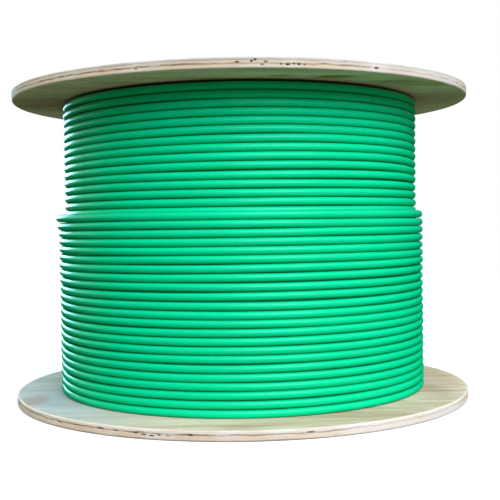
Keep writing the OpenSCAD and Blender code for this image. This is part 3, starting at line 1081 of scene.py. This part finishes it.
def drill(piece, holes):
    """Cuts round holes, each (place, radius, z from, z to). Their walls take the second material."""
    bm = bmesh.new()
    for at, radius, z_from, z_to in holes:
        made = bmesh.ops.create_cone(bm, cap_ends=True, segments=48, radius1=radius, radius2=radius,
                                     depth=z_to - z_from)
        bmesh.ops.translate(bm, verts=made["verts"], vec=(at[0], at[1], (z_from + z_to) / 2))
    for face in bm.faces:
        face.material_index = 1
    mesh = bpy.data.meshes.new("drill")
    bm.to_mesh(mesh)
    bm.free()
    for material in piece.data.materials:
        mesh.materials.append(material)
    cutter = new_object("drill", mesh)
    cut = piece.modifiers.new("drill", "BOOLEAN")
    cut.object = cutter
    cut.operation = "DIFFERENCE"
    cut.solver = "EXACT"
    bpy.context.view_layer.update()
    graph = bpy.context.evaluated_depsgraph_get()
    finished = bpy.data.meshes.new_from_object(piece.evaluated_get(graph), depsgraph=graph)
    piece.modifiers.clear()
    piece.data = finished
    bpy.data.objects.remove(cutter)


def bolt_places():
    boxes = [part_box(f"tie_bolt_{number}") for number in range(1, 5)]
    return [((low.x + high.x) / 2, (low.y + high.y) / 2) for low, high in boxes]


# Brown patches on the veneer: x, y, half length and half width in metres, and strength. Most are stains;
# those against the winding, at x of about ±0.18 to ±0.2, are painted shade where it meets the flange.
LOWER_STAINS_AND_SHADE = [(0.195, 0.000, 0.034, 0.110, 0.42), (0.190, -0.056, 0.015, 0.026, 0.34),
                (0.182, 0.030, 0.016, 0.020, 0.34), (0.180, -0.105, 0.020, 0.014, 0.25),
                (0.0, -0.218, 0.022, 0.012, 0.30), (-0.198, -0.085, 0.014, 0.030, 0.45),
                (0.120, -0.170, 0.075, 0.036, 0.20), (0.12, 0.16, 0.030, 0.012, 0.50),
                (-0.14, 0.15, 0.022, 0.010, 0.45)]
UPPER_STAINS_AND_SHADE = [(0.080, -0.180, 0.019, 0.007, 0.95), (0.034, -0.190, 0.012, 0.005, 0.60),
                (-0.190, -0.030, 0.055, 0.060, 0.60), (0.196, -0.040, 0.045, 0.050, 0.50),
                (0.140, -0.150, 0.030, 0.010, 0.50), (-0.110, -0.165, 0.024, 0.008, 0.45),
                (-0.05, 0.19, 0.028, 0.008, 0.55), (0.12, 0.16, 0.020, 0.006, 0.50)]
KNOTS = [(0.128, 0.070, 0.0045), (-0.118, -0.092, 0.0060), (-0.030, 0.165, 0.0035)]
PATCHES = [(-0.085, 0.105, 0.034, 0.0125)]


BARREL_HOLE_R = 5.1 * MM  # round a tee nut's barrel, in the lower flange
RECESS_R = 10.7 * MM  # round its disc
RECESS_DEPTH = 1.6 * MM
BOLT_HOLE_R = 4.2 * MM  # in the upper flange


def add_flanges():
    under, over = -MM, REEL_H + MM
    start = polar(FIRST_R, START_AZIMUTH, 0)
    lower_holes = [(at, BARREL_HOLE_R, under, FLANGE_T + MM) for at in bolt_places()]
    lower_holes.append(((start.x, start.y), START_HOLE_D / 2, under, FLANGE_T + MM))
    recesses = [(at, RECESS_R, under, RECESS_DEPTH) for at in bolt_places()]
    lower = add_flange(
        "flange_lower", "lower_flange", 0, LOWER_JOINTS, True, 3, LOWER_PITS,
        plywood_face("plywood_face_lower", LOWER_STAINS_AND_SHADE, painted_cool_left_light=0.75),
        plywood_edge("plywood_edge_lower", FLANGE_T, LOWER_JOINTS, srgb(222, 209, 186), 0.45, 1.09, 1.38),
        lower_holes, recesses)
    lower.visible_glossy = False  # the dull turns don't mirror the board
    low = REEL_H - FLANGE_T
    add_flange(
        "flange_upper", "upper_flange", low, UPPER_JOINTS, False, 11, UPPER_PITS,
        plywood_face("plywood_face_upper", UPPER_STAINS_AND_SHADE, knots=KNOTS, patches=PATCHES),
        plywood_edge("plywood_edge_upper", low, UPPER_JOINTS, srgb(222, 198, 160), 0.80, 0.90, 1.18),
        [(at, BOLT_HOLE_R, low - MM, over) for at in bolt_places()])


# ------------ fasteners

BOLT_R = 4 * MM
HEAD_W = 13 * MM  # across the flats
HEAD_H = 5.3 * MM
THREAD_PITCH = 1.25 * MM
THREAD_LENGTH = 28 * MM
THREAD_DEPTH = 0.55 * MM
THREAD_STEPS = 5  # points in one pitch
BEVEL_R = HEAD_W / 2 * 0.96  # where the bevel of the head's corners starts
BEVEL_SLOPE = math.tan(math.radians(30))
HEAD_DISH = 0.15 * MM
HEAD_TURN = 17  # degrees from one bolt's head to the next
TEE_BARREL_R = 5 * MM
TEE_DISC_T = 1.5 * MM
NOTCH_TO = 0.70  # share of the disc's radius that a notch leaves
NOTCH_HALF = 0.16  # half a notch's width and the length of its flank, in radians
NOTCH_FLANK = 0.10
PRESSED_EASE = 0.3 * MM  # rounding of the pressed pieces' edges
SHARP_ANGLE = 35  # degrees


def spun_piece(name, rows, places, sides, material, node, reshape=None):
    """One piece of equal solids, each turned from (radius, height) rows about the upright axis at a place.
    reshape(radius, height, azimuth) may alter them before they are turned."""
    azimuth = np.arange(sides) * 2 * np.pi / sides
    radius, height = (np.tile(column, (sides, 1)) for column in zip(*rows))
    if reshape:
        radius, height = reshape(radius, height, azimuth[:, None])
    points, quads = spun_mesh(radius, height, azimuth)
    vertices = np.concatenate([points + (x, y, 0) for x, y in places])
    faces = np.concatenate([quads + len(points) * number for number in range(len(places))])
    piece = new_piece(name, vertices, faces, [material], replaces=[node])
    bm = bmesh.new()
    bm.from_mesh(piece.data)
    bmesh.ops.remove_doubles(bm, verts=bm.verts, dist=MM / 1000)
    bmesh.ops.recalc_face_normals(bm, faces=bm.faces)
    bm.to_mesh(piece.data)
    bm.free()
    piece.data.set_sharp_from_angle(angle=math.radians(SHARP_ANGLE))
    return piece


def add_bolts(zinc):
    """Hexagon-headed bolts, with the head's corners bevelled and a rolled thread at the lower end."""
    for number, place in enumerate(bolt_places(), 1):
        node = f"tie_bolt_{number}"
        low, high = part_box(node)
        head_z = high.z - HEAD_H
        thread_z = low.z + THREAD_LENGTH
        turn = math.radians(HEAD_TURN * number)

        def reshape(radius, height, azimuth):
            corner = (azimuth + turn) % (math.pi / 3) - math.pi / 6
            hexagon = HEAD_W / 2 / np.cos(corner)
            on_hexagon = radius > HEAD_W / 2 * 0.99
            dropped = np.where(height > head_z + HEAD_H / 2, (hexagon - BEVEL_R) * BEVEL_SLOPE, 0)
            phase = height / THREAD_PITCH - azimuth / (2 * math.pi)
            groove = THREAD_DEPTH * np.abs((phase % 1) * 2 - 1)
            threaded = (radius > BOLT_R * 0.9) & (radius < BOLT_R * 1.01) & (height < thread_z)
            radius = np.where(on_hexagon, hexagon, radius) - np.where(threaded, groove, 0)
            return radius, height - np.where(on_hexagon, dropped, 0)

        rows = [(0, low.z), (BOLT_R - MM, low.z)]
        rows += [(BOLT_R, z) for z in np.arange(low.z + 0.8 * MM, thread_z, THREAD_PITCH / THREAD_STEPS)]
        rows += [(BOLT_R, thread_z + MM), (BOLT_R, head_z), (HEAD_W / 2, head_z)]
        rows += [(HEAD_W / 2, high.z), (BEVEL_R, high.z), (BEVEL_R * 0.75, high.z - HEAD_DISH)]
        rows += [(0, high.z - HEAD_DISH)]
        spun_piece(f"hex_bolt_{number}", rows, [place], 72, zinc, node, reshape)


def outer_radius(node):
    """The radius of a node's solids, each of which stands round a bolt."""
    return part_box(node)[1].x - max(x for x, _ in bolt_places())


def add_washers(zinc):
    low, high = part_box("bolt_washers")
    outer = outer_radius("bolt_washers")
    inner = BOLT_R + 0.2 * MM
    ease = PRESSED_EASE
    rows = [(inner, low.z + ease), (inner + ease, low.z), (outer - ease, low.z), (outer, low.z + ease),
            (outer, high.z - ease), (outer - ease, high.z), (inner + ease, high.z), (inner, high.z - ease)]
    spun_piece("washer_set", rows, bolt_places(), 64, zinc, "bolt_washers")


def add_tee_nuts(zinc):
    """Pressed discs with four notches, where the prongs were bent up, and a barrel through the plywood."""
    low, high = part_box("tee_nuts")
    outer = outer_radius("tee_nuts")
    bore, ease = BOLT_R + 0.05 * MM, PRESSED_EASE

    def reshape(radius, height, azimuth):
        beside_notch = np.abs((azimuth % (math.pi / 2)) - math.pi / 4)
        notch = outer * (NOTCH_TO + (1 - NOTCH_TO) * smooth_step((beside_notch - NOTCH_HALF) / NOTCH_FLANK))
        return np.where(radius > TEE_BARREL_R * 1.5, np.minimum(radius, notch), radius), height

    rows = [(bore, low.z + ease), (bore + ease, low.z), (TEE_BARREL_R, low.z), (outer - ease, low.z),
            (outer, low.z + ease), (outer, TEE_DISC_T - ease), (outer - ease, TEE_DISC_T),
            (TEE_BARREL_R, TEE_DISC_T), (TEE_BARREL_R, high.z), (bore, high.z)]
    spun_piece("tee_nut_set", rows, bolt_places(), 96, zinc, "tee_nuts", reshape)


# ------------ assembly


def finish_cad_nodes(jacket):
    """The CAD nodes that stay on show get their own procedural materials."""
    nodes = {"core_tube": wound_fibre(), "cable_start": jacket}
    for name, material in nodes.items():
        for slot in frame["nodes"][name].material_slots:
            slot.material = material


FLOOR_HALF = 1.7
FLOOR_Z = -0.2 * MM


def add_floor():
    mesh = bpy.data.meshes.new("floor")
    corners = [(x * FLOOR_HALF, y * FLOOR_HALF, 0) for x, y in ((-1, -1), (1, -1), (1, 1), (-1, 1))]
    mesh.from_pydata(corners, [], [(0, 1, 2, 3)])
    mesh.materials.append(studio_white())
    floor = new_object("floor", mesh)
    floor.location.z = FLOOR_Z
    floor.visible_diffuse = False
    floor.visible_glossy = False


add_camera()
add_studio()
jacket = green_jacket()
tubes, tube_paths = add_winding(jacket)
end_pieces = add_cable_end(tube_paths[-1], jacket)
add_tape(tube_paths)
add_flanges()
zinc = zinc_steel()
add_bolts(zinc)
add_washers(zinc)
add_tee_nuts(zinc)
finish_cad_nodes(jacket)
add_floor()

bpy.context.view_layer.update()
